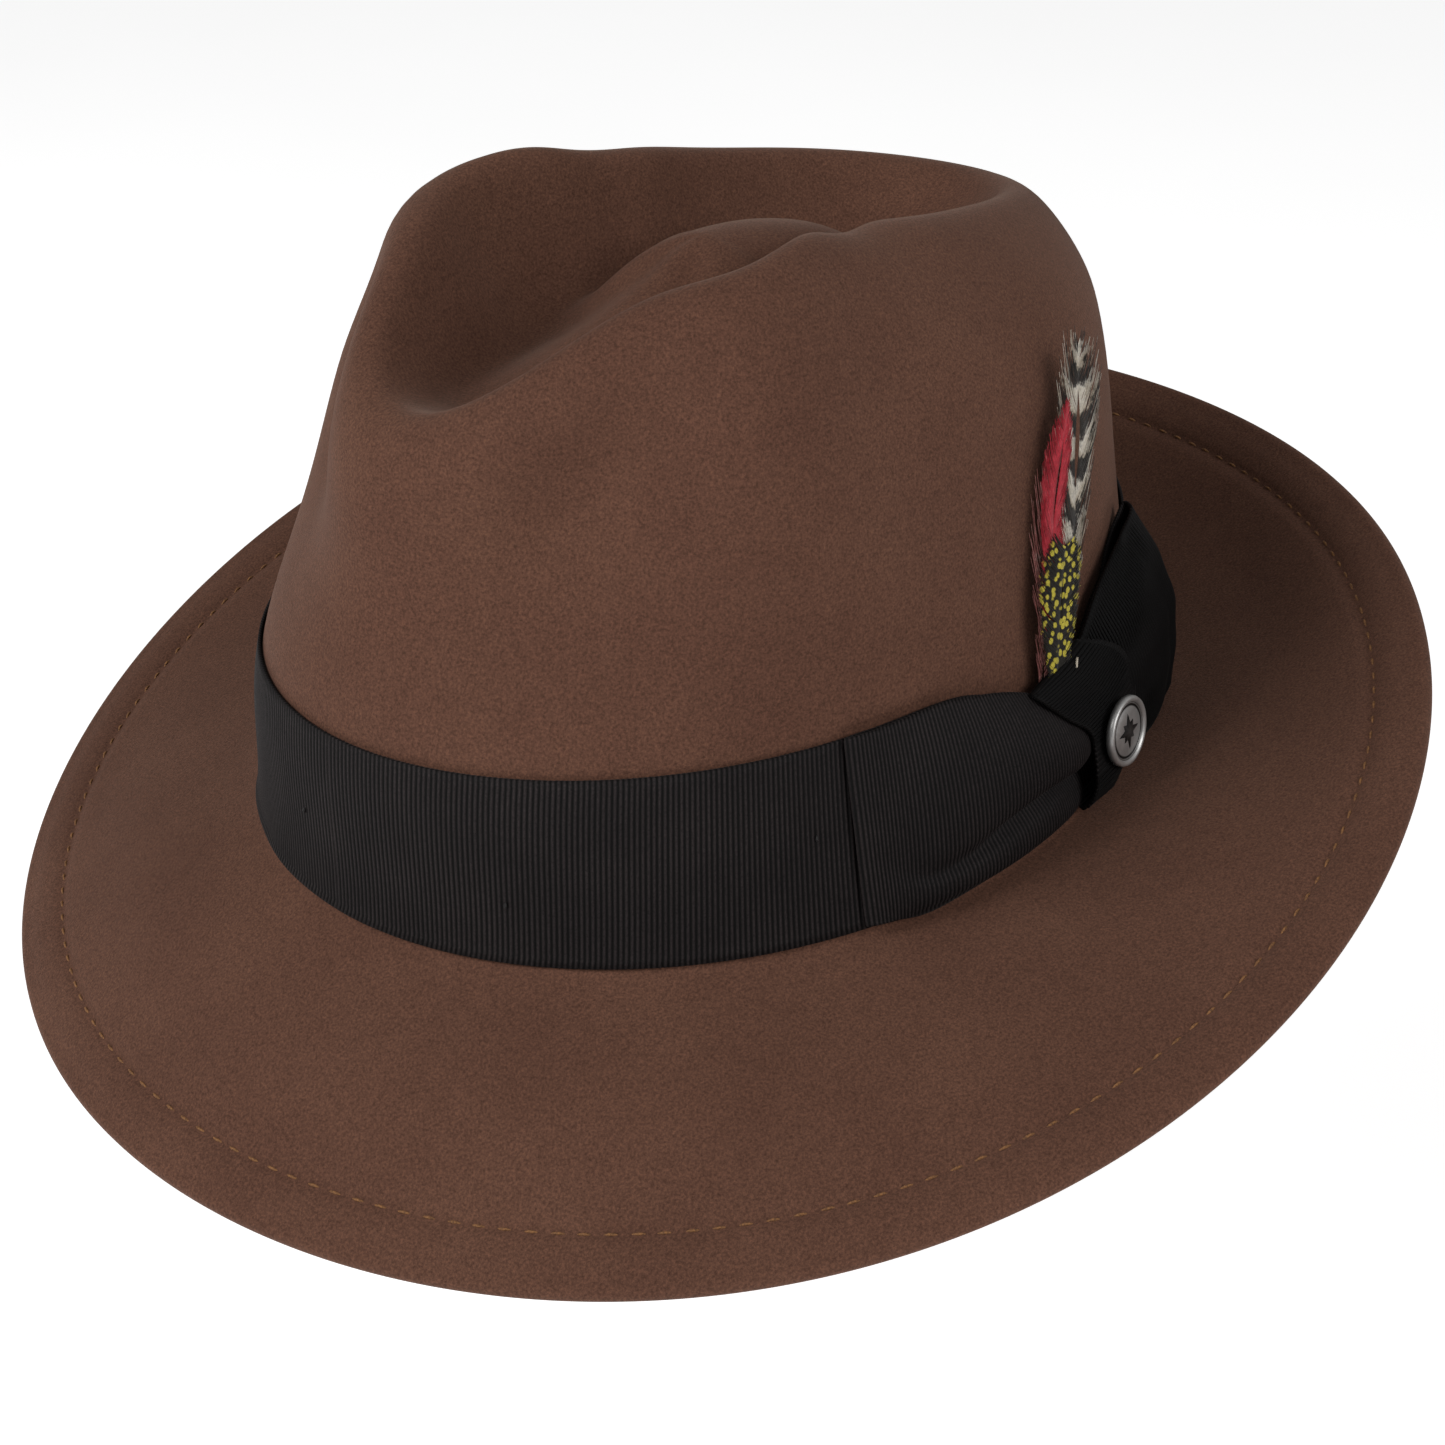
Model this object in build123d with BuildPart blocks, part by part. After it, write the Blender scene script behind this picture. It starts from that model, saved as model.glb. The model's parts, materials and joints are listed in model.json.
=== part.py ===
from build123d import *
import math
import os

# A teardrop-crown fedora with a snap brim, in millimetres. +X points to the front of the hat, +Y to
# the wearer's left and +Z up. The origin is the middle of the head opening, level with the line
# where the crown breaks into the brim.

os.makedirs("parts", exist_ok=True)

# Shape round the hat: each row holds values at equal steps from the front to the back
break_reach = (103.6, 93.7, 84.5, 91.5, 103.6)
break_height = (-1.5, -1.1, -0.2, 1.0, 2.0)
band_top_reach = (102.5, 87.3, 75.1, 85.7, 103.5)
band_top_height = (38.7, 38.6, 38.9, 40.8, 42.1)
wall_reach = (94.0, 81.5, 77.5, 71.0, 65.0, 67.5, 77.0, 92.0, 102.0)
wall_height = (66.0, 72.0, 78.0, 80.0, 82.0, 83.0, 84.0, 84.0, 82.0)
ridge_reach = (85.0, 70.0, 59.0, 47.5, 40.0, 38.0, 45.5, 66.0, 86.0)
ridge_height = (99.0, 109.7, 119.0, 121.5, 118.3, 116.7, 113.8, 108.8, 104.5)
dent_reach = (59.0, 45.0, 35.5, 28.0, 23.5, 22.0, 27.0, 42.0, 58.0)
dent_height = (93.0, 92.5, 93.5, 95.5, 96.5, 97.0, 96.5, 94.5, 92.5)
dome_height = 111.5
rise_reach_share = (0.36, 0.45, 0.55, 0.55, 0.55)
rise_height_share = (0.5, 0.6, 0.7, 0.7, 0.7)
edge_reach = (155.2, 154.4, 153.5, 153.6, 153.3, 151.9, 151.9, 154.9, 157.1)
edge_height = (-34.7, -33.8, -28.7, -16.9, 0.2, 17.0, 27.9, 31.7, 32.1)
brim_arch = (3.0, 2.0, -1.0, -3.0, -4.0)

# Crown between its wall, ridge, dent and dome: shares of the way from one to the next
shoulder_out = 3.5
shoulder_reach_share = 0.6
shoulder_height_share = 0.7
slope_share = 0.5

# Felt
felt_thickness = 2.0
welt_width = 11.0
welt_thickness = 3.8
dome_cap_radius = 6.0
dome_cap_lap = 0.2
brim_start_out = 1.5
section_step = 12.0
foot_lift = 0.5
seat_gap = 0.05

# Snap brim
snap_line_x = 108.0
snap_gap = 0.3

# Thread
thread_width = 1.0
thread_height = 0.6

# Trim ribbon: heights are shares of the wall from the break (0) to the band's top edge (1)
band_near = 0.5
band_far = 0.95
band_low = 0.05
band_high = 1.0
tack_places = ((22.0, 0.35), (-5.0, 0.5), (58.0, 0.55))
tack_radius = 0.7
tack_height = 0.35
tack_lift = 0.25

# Bow on the wearer's left: stations hold angle, low and high share, near and far stand-off
bow_base_stations = ((105.0, 0.06, 0.75, 1.1, 2.0), (110.0, 0.06, 0.80, 1.1, 2.0), (115.0, 0.06, 0.80, 1.1, 2.0))
front_wing_stations = (
    (64.0, 0.06, 1.00, 1.4, 2.9),
    (74.0, 0.05, 0.99, 1.4, 5.0),
    (86.0, 0.06, 0.95, 2.7, 6.2),
    (95.0, 0.08, 0.85, 3.5, 6.7),
    (101.8, 0.10, 0.76, 3.6, 6.5),
)
rear_wing_stations = (
    (118.2, 0.12, 0.86, 2.6, 7.4),
    (127.0, 0.07, 1.06, 1.8, 8.6),
    (137.0, 0.06, 1.18, 1.4, 9.6),
)
knot_stations = (
    (102.3, 0.10, 0.72, 4.6, 6.8),
    (106.0, 0.05, 0.82, 4.6, 7.6),
    (112.0, 0.05, 0.86, 4.6, 8.0),
    (117.9, 0.08, 0.84, 4.6, 7.6),
)
stitch_stations = ((106.0, 0.3, 0.7, 2.1, 2.4), (107.5, 0.3, 0.7, 2.1, 2.4), (109.0, 0.3, 0.7, 2.1, 2.4))

# Badge pinned through the knot
badge_turn = 112.2
badge_share = 0.335
badge_stand_off = 9.4
badge_bearing = 99.0
badge_tilt = 8.0
badge_radius = 7.5
badge_thickness = 1.4
badge_rim = 1.2
badge_rim_height = 0.5
motif_points = 8
motif_outer = 4.2
motif_inner = 1.7
motif_height = 0.35
post_radius = 0.6
post_length = 6.6
post_clearance = 0.05
clutch_radius = 2.0
clutch_thickness = 1.0

# Feather spray tucked behind the knot
spray_foot = (-16.0, 78.3, 30.3)
spray_axis = (-0.338, -0.240, 0.910)
spray_bearing = 100.0
quill_radius = 0.7
quill_length = 24.0
feather_thickness = 0.5
feather_gap = 0.15

# Feathers from the crown outward: outlines across and up the spray from its foot
feathers = (
    ("feather_wisps", ((0, 1), (-4, 14), (-7, 30), (-4, 46), (0, 50), (3, 44), (4, 28), (3, 12))),
    ("feather_barred", ((1, 2), (7, 18), (9, 40), (7, 62), (3, 71), (-1, 64), (-2, 38), (-1, 14))),
    ("feather_red", ((-2, 5), (-6, 20), (-7, 38), (-6, 54), (-2, 63), (1, 54), (1, 34), (0, 15))),
    ("feather_spotted", ((0, 2), (4, 10), (5, 20), (4, 30), (0, 33), (-4, 30), (-5, 20), (-4, 10))),
)

# Inside the crown
sweatband_near = -3.4
sweatband_far = -2.3
sweatband_low = 0.06
sweatband_high = 1.06
reed_low = 0.015
reed_high = 0.055
reed_near = -3.5
reed_far = -2.2
seam_half_turn = 3.0
seam_low = 0.2
seam_high = 1.04
seam_near = -3.9
seam_far = -3.45
bow_half_turn = 4.0
sweat_bow_low = 0.25
sweat_bow_high = 0.4
sweat_bow_near = -5.4
sweat_bow_far = -4.0
thread_line_low = 0.12
thread_line_high = 0.15
thread_near = -3.75
thread_far = -3.45
lining_near = -2.8
lining_far = -2.3
lining_low = 1.12
lining_high = 1.9
tip_height = 69.0
tip_thickness = 0.5
tip_inset = 9.0


def around(values, turn):
    """Even curve round the hat through values at equal steps from the front to the back."""
    last = len(values) - 1
    total = 0.0
    for order in range(last + 1):
        weight = 0.0
        for place, value in enumerate(values):
            share = 0.5 if place in (0, last) else 1.0
            weight += share * value * math.cos(math.pi * order * place / last)
        if order in (0, last):
            weight *= 0.5
        total += 2.0 / last * weight * math.cos(order * math.radians(turn))
    return total


def radial_plane(turn):
    """Upright plane through the hat's axis, with local x outward and local y up."""
    cosine = math.cos(math.radians(turn))
    sine = math.sin(math.radians(turn))
    return Plane(origin=(0, 0, 0), x_dir=(cosine, sine, 0), z_dir=(sine, -cosine, 0))


def turns(start, end, step=section_step):
    """Evenly spaced angles from start to end, about one step apart."""
    count = max(2, round(abs(end - start) / step))
    return [start + (end - start) * place / count for place in range(count + 1)]


def headings(points, first=None, last=None):
    """Unit direction of a smooth run at each of its points."""
    before = [points[0]] + points[:-1]
    after = points[1:] + [points[-1]]
    found = [(Vector(*b) - Vector(*a)).normalized() for a, b in zip(before, after)]
    if first:
        found[0] = Vector(*first).normalized()
    if last:
        found[-1] = Vector(*last).normalized()
    return found


def smooth_run(points, directions):
    """Curve through the points, inside the line builder that calls it."""
    for place in range(len(points) - 1):
        start = Vector(*points[place])
        end = Vector(*points[place + 1])
        reach = (end - start).length / 3
        Bezier(start, start + directions[place] * reach, end - directions[place + 1] * reach, end)


def layer(points, directions, near, far):
    """Closed outline between two offsets of a run, to the right of its direction of travel."""
    sides = [Vector(d.Y, -d.X) for d in directions]
    near_points = [tuple(Vector(*p) + s * near)[:2] for p, s in zip(points, sides)]
    far_points = [tuple(Vector(*p) + s * far)[:2] for p, s in zip(points, sides)]
    smooth_run(near_points, directions)
    Line(near_points[-1], far_points[-1])
    smooth_run(far_points[::-1], [d * -1 for d in directions[::-1]])
    Line(far_points[0], near_points[0])


def between(start, end, share):
    """Value a share of the way from start to end."""
    return start + (end - start) * share


def crown_points(turn):
    """Outer face of the crown from the brim break up the wall and over to the dome."""
    foot = (around(break_reach, turn), around(break_height, turn) + foot_lift)
    band = (around(band_top_reach, turn), around(band_top_height, turn))
    wall = (around(wall_reach, turn), around(wall_height, turn))
    ridge = (around(ridge_reach, turn), around(ridge_height, turn))
    dent = (around(dent_reach, turn), around(dent_height, turn))
    dome = (dome_cap_radius, dome_height)
    shoulder = (
        between(wall[0], ridge[0], shoulder_reach_share) + shoulder_out,
        between(wall[1], ridge[1], shoulder_height_share),
    )
    slope = (between(ridge[0], dent[0], slope_share), between(ridge[1], dent[1], slope_share))
    rise = (
        dent[0] * around(rise_reach_share, turn),
        between(dent[1], dome_height, around(rise_height_share, turn)),
    )
    return [foot, band, wall, shoulder, ridge, slope, dent, rise, dome]


def crown_run(turn):
    """Crown points with their directions."""
    points = crown_points(turn)
    return points, headings(points, last=(-1, 0))


def wall_place(turn, share):
    """Point and direction on the crown wall: share 0 is the break, 1 the band's top, 2 the mid wall."""
    points, directions = crown_run(turn)
    step = 0 if share <= 1 else 1
    start = Vector(*points[step])
    end = Vector(*points[step + 1])
    reach = (end - start).length / 3
    first = start + directions[step] * reach
    second = end - directions[step + 1] * reach
    t = share - step
    near = start + (first - start) * t
    middle = first + (second - first) * t
    far = second + (end - second) * t
    near = near + (middle - near) * t
    far = middle + (far - middle) * t
    place = near + (far - near) * t
    return (place.X, place.Y), (far - near).normalized()


def wall_run(turn, low, high):
    """Points on the crown wall between two shares of its height, with their directions."""
    places = [wall_place(turn, low + (high - low) * part / 2) for part in range(3)]
    return [place for place, direction in places], [direction for place, direction in places]


def wall_spot(turn, share, stand_off):
    """Point in space at a stand-off from the crown wall."""
    (reach, height), direction = wall_place(turn, share)
    reach += direction.Y * stand_off
    height -= direction.X * stand_off
    angle = math.radians(turn)
    return Vector(reach * math.cos(angle), reach * math.sin(angle), height)


def brim_points(turn):
    """Top face of the brim from the crown out to the edge."""
    inner = (around(break_reach, turn) - felt_thickness, around(break_height, turn))
    edge = (around(edge_reach, turn) - welt_thickness / 2, around(edge_height, turn))
    start = (around(break_reach, turn) + brim_start_out, around(break_height, turn))
    middle = tuple((Vector(*start) + Vector(*edge)) / 2 + Vector(0, around(brim_arch, turn)))
    along = (Vector(*edge) - Vector(*middle)).normalized()
    welt = Vector(*edge) - along * welt_width
    return [inner, start, middle[:2], tuple(welt)[:2], edge]


def make_crown():
    """Crown wall, ridge, dent and dome, pressed from the felt hood."""
    with BuildPart() as crown:
        for turn in turns(0, 180):
            with BuildSketch(radial_plane(turn)):
                with BuildLine():
                    points, directions = crown_run(turn)
                    layer(points, directions, -felt_thickness, 0)
                make_face()
        loft()
        mirror(about=Plane.XZ)
        with Locations((0, 0, dome_height)):
            Cylinder(dome_cap_radius + dome_cap_lap, felt_thickness, align=(Align.CENTER, Align.CENTER, Align.MAX))
    return crown


def brim_outline(turn):
    """Section of the brim, doubled under at the welt, with a rounded edge."""
    points = brim_points(turn)
    directions = headings(points, first=(1, 0))
    downs = [Vector(d.Y, -d.X) for d in directions]
    edge = Vector(*points[-1])
    under_edge = edge + downs[-1] * welt_thickness
    under_welt = Vector(*points[3]) + downs[3] * welt_thickness
    under_brim = Vector(*points[3]) + downs[3] * felt_thickness
    outer = edge + downs[-1] * (welt_thickness / 2) + directions[-1] * (welt_thickness / 2)
    smooth_run(points, directions)
    ThreePointArc(edge, outer, under_edge)
    smooth_run([tuple(under_edge)[:2], tuple(under_welt)[:2]], [directions[-1] * -1, directions[3] * -1])
    Line(under_welt, under_brim)
    under = [tuple(under_brim)[:2]]
    for place in (2, 1, 0):
        under.append(tuple(Vector(*points[place]) + downs[place] * felt_thickness)[:2])
    smooth_run(under, [directions[3] * -1, directions[2] * -1, directions[1] * -1, directions[0] * -1])
    Line(under[-1], points[0])


def make_brim():
    """Whole brim ring, before the snap line divides it."""
    with BuildPart() as brim:
        for turn in turns(0, 180):
            with BuildSketch(radial_plane(turn)):
                with BuildLine():
                    brim_outline(turn)
                make_face()
        loft()
        mirror(about=Plane.XZ)
    return brim


def make_stitching():
    """Lockstitch thread that holds the welt down, lying on the brim's top face."""
    with BuildPart() as thread:
        for turn in turns(0, 180):
            points = brim_points(turn)
            directions = headings(points)
            seat = Vector(*points[3]) - Vector(directions[3].Y, -directions[3].X) * seat_gap
            across = directions[3] * (thread_width / 2)
            up = Vector(-directions[3].Y, directions[3].X) * thread_height
            with BuildSketch(radial_plane(turn)):
                with BuildLine():
                    Polyline(seat - across, seat + across, seat + across + up, seat - across + up, close=True)
                make_face()
        loft()
        mirror(about=Plane.XZ)
    return thread


def keep_rear(whole):
    """The stretch behind the snap line, which stays with the crown."""
    with BuildPart() as rear:
        add(whole.part)
        split(bisect_by=Plane.YZ.offset(snap_line_x), keep=Keep.BOTTOM)
    return rear


def keep_front(whole):
    """The stretch ahead of the snap line, which snaps up and down."""
    with BuildPart() as front:
        add(whole.part)
        split(bisect_by=Plane.YZ.offset(snap_line_x + snap_gap), keep=Keep.TOP)
    return front


def make_ring(low, high, near, far):
    """Layer all round the crown wall between two shares of its height, at two stand-offs."""
    with BuildPart() as ring:
        for turn in turns(0, 180):
            with BuildSketch(radial_plane(turn)):
                with BuildLine():
                    points, directions = wall_run(turn, low, high)
                    layer(points, directions, near, far)
                make_face()
        loft()
        mirror(about=Plane.XZ)
    return ring


def make_wrap(stations):
    """Patch that follows the crown wall through the stations."""
    with BuildPart() as wrap:
        for turn, low, high, near, far in stations:
            with BuildSketch(radial_plane(turn)):
                with BuildLine():
                    points, directions = wall_run(turn, low, high)
                    layer(points, directions, near, far)
                make_face()
        loft()
    return wrap


def make_back_wrap(half_turn, low, high, near, far):
    """Patch across the middle of the hat's back, on the crown wall."""
    start = 180 - half_turn
    return make_wrap([(start + half_turn * part, low, high, near, far) for part in range(3)])


def make_tacks():
    """Small thread tacks that hold the ribbon to the felt."""
    with BuildPart() as tacks:
        for turn, share in tack_places:
            spot = wall_spot(abs(turn), share, band_far + tack_lift)
            spot.Y = math.copysign(spot.Y, turn)
            out = Vector(spot.X, spot.Y, 0)
            with BuildSketch(Plane(origin=spot, z_dir=out)):
                Circle(tack_radius)
            extrude(amount=tack_height)
    return tacks


def badge_plane():
    """Plane of the badge's back, facing outward."""
    bearing = math.radians(badge_bearing)
    tilt = math.radians(badge_tilt)
    out = Vector(math.cos(bearing) * math.cos(tilt), math.sin(bearing) * math.cos(tilt), math.sin(tilt))
    across = Vector(-math.sin(bearing), math.cos(bearing), 0)
    return Plane(origin=wall_spot(badge_turn, badge_share, badge_stand_off), x_dir=across, z_dir=out)


def make_badge():
    """Round badge with a raised rim and a star in the middle of its field."""
    back = badge_plane()
    with BuildPart() as badge:
        with BuildSketch(back):
            Circle(badge_radius)
        extrude(amount=badge_thickness)
        with BuildSketch(back.offset(badge_thickness)):
            Circle(badge_radius)
            Circle(badge_radius - badge_rim, mode=Mode.SUBTRACT)
        extrude(amount=badge_rim_height)
        with BuildSketch(back.offset(badge_thickness)):
            with BuildLine():
                Polyline(*star_corners(), close=True)
            make_face()
        extrude(amount=motif_height)
    return badge


def star_corners():
    """Corners of the star, alternating between its two radii."""
    corners = []
    for corner in range(2 * motif_points):
        radius = motif_inner if corner % 2 else motif_outer
        angle = math.pi * corner / motif_points
        corners.append((radius * math.cos(angle), radius * math.sin(angle)))
    return corners


def make_post():
    """Pin post behind the badge, through the knot."""
    with BuildPart() as post:
        with BuildSketch(badge_plane()):
            Circle(post_radius)
        extrude(amount=-post_length)
    return post


def make_clutch():
    """Clutch that grips the end of the post behind the knot."""
    with BuildPart() as clutch:
        with BuildSketch(badge_plane().offset(-post_length + clutch_thickness / 2)):
            Circle(clutch_radius)
            Circle(post_radius + post_clearance, mode=Mode.SUBTRACT)
        extrude(amount=clutch_thickness / 2, both=True)
    return clutch


def make_knot():
    """Ribbon wrapped round the waist of the bow, pierced for the badge's post."""
    with BuildPart() as knot:
        add(make_wrap(knot_stations).part)
        with BuildSketch(badge_plane()):
            Circle(post_radius + post_clearance)
        extrude(amount=-2 * post_length, mode=Mode.SUBTRACT)
    return knot


def spray_plane(stand_off):
    """Plane along the feather spray with local y up the spray, at a stand-off from its quill."""
    axis = Vector(*spray_axis).normalized()
    bearing = math.radians(spray_bearing)
    out = Vector(math.cos(bearing), math.sin(bearing), 0)
    out = (out - axis * out.dot(axis)).normalized()
    return Plane(origin=Vector(*spray_foot) + out * stand_off, x_dir=axis.cross(out), z_dir=out)


def make_feather(outline, stand_off):
    """Flat feather vane with a smooth closed outline through the given points."""
    with BuildPart() as feather:
        with BuildSketch(spray_plane(stand_off)):
            with BuildLine():
                Spline(*outline, periodic=True)
            make_face()
        extrude(amount=feather_thickness)
    return feather


def make_quill():
    """Bound quills that run down behind the knot."""
    with BuildPart() as quill:
        low = spray_plane(0)
        with BuildSketch(Plane(origin=low.origin, z_dir=low.y_dir).offset(-quill_length)):
            Circle(quill_radius)
        extrude(amount=quill_length)
    return quill


def make_lining_tip():
    """Satin oval that closes the lining under the dent."""
    with BuildPart() as tip:
        with BuildSketch(Plane.XY.offset(tip_height)):
            with BuildLine():
                Spline(*tip_outline(), periodic=True)
            make_face()
        extrude(amount=tip_thickness)
    return tip


def tip_outline():
    """Oval inside the crown wall at the height of the lining tip."""
    corners = []
    for turn in range(0, 360, 30):
        even_turn = min(turn, 360 - turn)
        reach = wall_place(even_turn, lining_high)[0][0] - tip_inset
        corners.append((reach * math.cos(math.radians(turn)), reach * math.sin(math.radians(turn))))
    return corners


def save(piece, name):
    """Label a finished piece and write it as its own node."""
    piece.part.label = name
    export_step(piece.part, f"parts/{name}.step")


whole_brim = make_brim()
whole_stitching = make_stitching()
save(make_crown(), "felt_crown")
save(keep_rear(whole_brim), "brim_rear")
save(keep_front(whole_brim), "brim_front")
save(keep_rear(whole_stitching), "welt_stitching_rear")
save(keep_front(whole_stitching), "welt_stitching_front")
save(make_ring(band_low, band_high, band_near, band_far), "ribbon_band")
save(make_tacks(), "ribbon_tacks")
save(make_wrap(bow_base_stations), "bow_base")
save(make_wrap(front_wing_stations), "bow_front_wing")
save(make_wrap(rear_wing_stations), "bow_rear_wing")
save(make_knot(), "bow_knot")
save(make_wrap(stitch_stations), "bow_stitches")
save(make_badge(), "badge_face")
save(make_post(), "badge_post")
save(make_clutch(), "badge_clutch")
save(make_quill(), "feather_quill")
for place, (name, outline) in enumerate(feathers):
    save(make_feather(outline, quill_radius + seat_gap + (feather_thickness + feather_gap) * place), name)
save(make_ring(sweatband_low, sweatband_high, sweatband_near, sweatband_far), "sweatband")
save(make_ring(reed_low, reed_high, reed_near, reed_far), "sweatband_reed")
save(make_ring(thread_line_low, thread_line_high, thread_near, thread_far), "sweatband_stitching")
save(make_back_wrap(seam_half_turn, seam_low, seam_high, seam_near, seam_far), "sweatband_seam_tape")
save(make_back_wrap(bow_half_turn, sweat_bow_low, sweat_bow_high, sweat_bow_near, sweat_bow_far), "sweatband_bow")
save(make_ring(lining_low, lining_high, lining_near, lining_far), "lining_side")
save(make_lining_tip(), "lining_tip")
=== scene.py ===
import json
import math
import random

import bmesh
import bpy
import numpy as np
from mathutils import Matrix, Vector


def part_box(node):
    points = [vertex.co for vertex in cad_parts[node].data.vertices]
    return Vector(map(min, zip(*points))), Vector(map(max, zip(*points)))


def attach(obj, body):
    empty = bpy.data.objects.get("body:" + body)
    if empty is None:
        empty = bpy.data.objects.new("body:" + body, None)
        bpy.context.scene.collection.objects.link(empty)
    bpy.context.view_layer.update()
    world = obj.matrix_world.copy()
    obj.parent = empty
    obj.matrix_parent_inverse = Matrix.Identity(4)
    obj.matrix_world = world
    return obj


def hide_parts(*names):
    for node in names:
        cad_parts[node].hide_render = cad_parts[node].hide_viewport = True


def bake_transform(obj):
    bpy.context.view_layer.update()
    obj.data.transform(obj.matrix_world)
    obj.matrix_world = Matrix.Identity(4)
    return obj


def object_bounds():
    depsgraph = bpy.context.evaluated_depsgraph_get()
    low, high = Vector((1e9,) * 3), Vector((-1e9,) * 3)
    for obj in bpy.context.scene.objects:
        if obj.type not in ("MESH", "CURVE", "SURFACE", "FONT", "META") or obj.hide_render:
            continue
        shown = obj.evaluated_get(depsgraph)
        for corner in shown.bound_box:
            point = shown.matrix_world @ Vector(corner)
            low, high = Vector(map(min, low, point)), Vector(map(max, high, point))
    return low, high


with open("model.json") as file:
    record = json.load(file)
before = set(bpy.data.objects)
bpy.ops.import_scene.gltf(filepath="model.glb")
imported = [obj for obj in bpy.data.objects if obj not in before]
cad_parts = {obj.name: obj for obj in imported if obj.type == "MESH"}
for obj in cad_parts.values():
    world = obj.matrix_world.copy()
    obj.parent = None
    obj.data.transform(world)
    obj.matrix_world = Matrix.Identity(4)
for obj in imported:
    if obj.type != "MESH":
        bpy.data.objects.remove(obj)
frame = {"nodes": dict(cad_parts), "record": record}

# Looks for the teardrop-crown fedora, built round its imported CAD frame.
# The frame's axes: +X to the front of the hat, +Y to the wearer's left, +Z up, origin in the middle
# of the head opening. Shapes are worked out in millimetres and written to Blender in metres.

cad_box = [list(corner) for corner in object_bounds()]
MM = 0.001
random.seed(7)

# Shape round the hat: each row holds values at equal steps from the front to the back.
# Most rows come from a fit to the hat's outline, some of them rounded or changed.
BREAK_REACH = (103.6, 93.7, 84.5, 91.5, 103.6)
BREAK_HEIGHT = (-1.5, -1.1, -0.2, 1.0, 2.0)
BAND_TOP_REACH = (102.5, 87.3, 75.1, 85.7, 103.5)
BAND_TOP_HEIGHT = (38.7, 38.6, 38.9, 40.8, 42.1)
WALL_REACH = (94.0, 81.5, 77.5, 71.0, 65.0, 67.5, 77.0, 92.0, 102.0)
WALL_HEIGHT = (66.0, 72.0, 78.0, 80.0, 82.0, 83.0, 84.0, 84.0, 82.0)
RIDGE_REACH = (82.0, 65.0, 53.5, 42.0, 36.0, 35.5, 44.0, 65.0, 85.0)
RIDGE_HEIGHT = (98.0, 112.5, 122.0, 124.5, 121.0, 118.5, 115.0, 109.5, 104.5)
DENT_REACH = (59.0, 44.0, 34.0, 26.0, 22.0, 21.0, 27.0, 42.0, 58.0)
DENT_HEIGHT = (92.0, 91.0, 92.5, 95.5, 96.5, 97.0, 96.5, 94.5, 92.5)
DOME_HEIGHT = 111.5
RISE_REACH_SHARE = (0.36, 0.45, 0.55, 0.55, 0.55)
RISE_HEIGHT_SHARE = (0.5, 0.6, 0.7, 0.7, 0.7)
EDGE_REACH = (155.2, 154.4, 153.5, 153.6, 153.3, 151.9, 151.9, 154.9, 157.1)
EDGE_HEIGHT = (-34.7, -33.8, -28.7, -16.9, 0.2, 17.0, 27.9, 31.7, 32.1)
BRIM_ARCH = (3.0, 2.0, -1.0, -3.0, -4.0)

FELT = 2.0
WELT = 3.6
WELT_WIDTH = 11.0
BREAK_FILLET = 2.6
COLUMNS = 480
SMOOTHING_PASSES = 4
STITCH_INSET = 0.6


# ---------------------------------------------------------------- shape of the felt

def around(values, turn):
    """Even curve round the hat through values at equal steps from the front to the back."""
    last = len(values) - 1
    total = np.zeros_like(turn, dtype=float)
    for order in range(last + 1):
        weight = 0.0
        for place, value in enumerate(values):
            share = 0.5 if place in (0, last) else 1.0
            weight += share * value * math.cos(math.pi * order * place / last)
        if order in (0, last):
            weight *= 0.5
        total += 2.0 / last * weight * np.cos(order * turn)
    return total


def unit(vectors):
    """Vectors at unit length."""
    return vectors / np.maximum(np.linalg.norm(vectors, axis=-1, keepdims=True), 1e-9)


def felt_corners(turn):
    """Control points (reach, height) of the felt's outer face, from the dome out to the brim's edge."""
    def row(reach, height):
        return np.stack([reach, height], -1)
    foot = row(around(BREAK_REACH, turn), around(BREAK_HEIGHT, turn))
    band = row(around(BAND_TOP_REACH, turn), around(BAND_TOP_HEIGHT, turn))
    wall = row(around(WALL_REACH, turn), around(WALL_HEIGHT, turn))
    ridge = row(around(RIDGE_REACH, turn), around(RIDGE_HEIGHT, turn))
    dent = row(around(DENT_REACH, turn), around(DENT_HEIGHT, turn))
    dome = row(np.zeros_like(turn), np.full_like(turn, DOME_HEIGHT))
    shoulder = wall * (0.4, 0.3) + ridge * (0.6, 0.7) + (3.5, 0.0)
    slope = (ridge + dent) / 2
    climb = around(RISE_HEIGHT_SHARE, turn)
    rise = row(dent[:, 0] * around(RISE_REACH_SHARE, turn), dent[:, 1] * (1 - climb) + DOME_HEIGHT * climb)
    low = foot + (0.0, BREAK_FILLET)
    start = foot + (BREAK_FILLET, -0.1)
    edge = row(around(EDGE_REACH, turn) - WELT / 2, around(EDGE_HEIGHT, turn))
    middle = (start + edge) / 2 + row(np.zeros_like(turn), around(BRIM_ARCH, turn))
    welt = edge - unit(edge - middle) * WELT_WIDTH
    return [dome, rise, dent, slope, ridge, shoulder, wall, band, low, start, middle, welt, edge]


SAMPLES = (10, 8, 6, 8, 8, 12, 12, 12, 6, 14, 14, 12)


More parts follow.
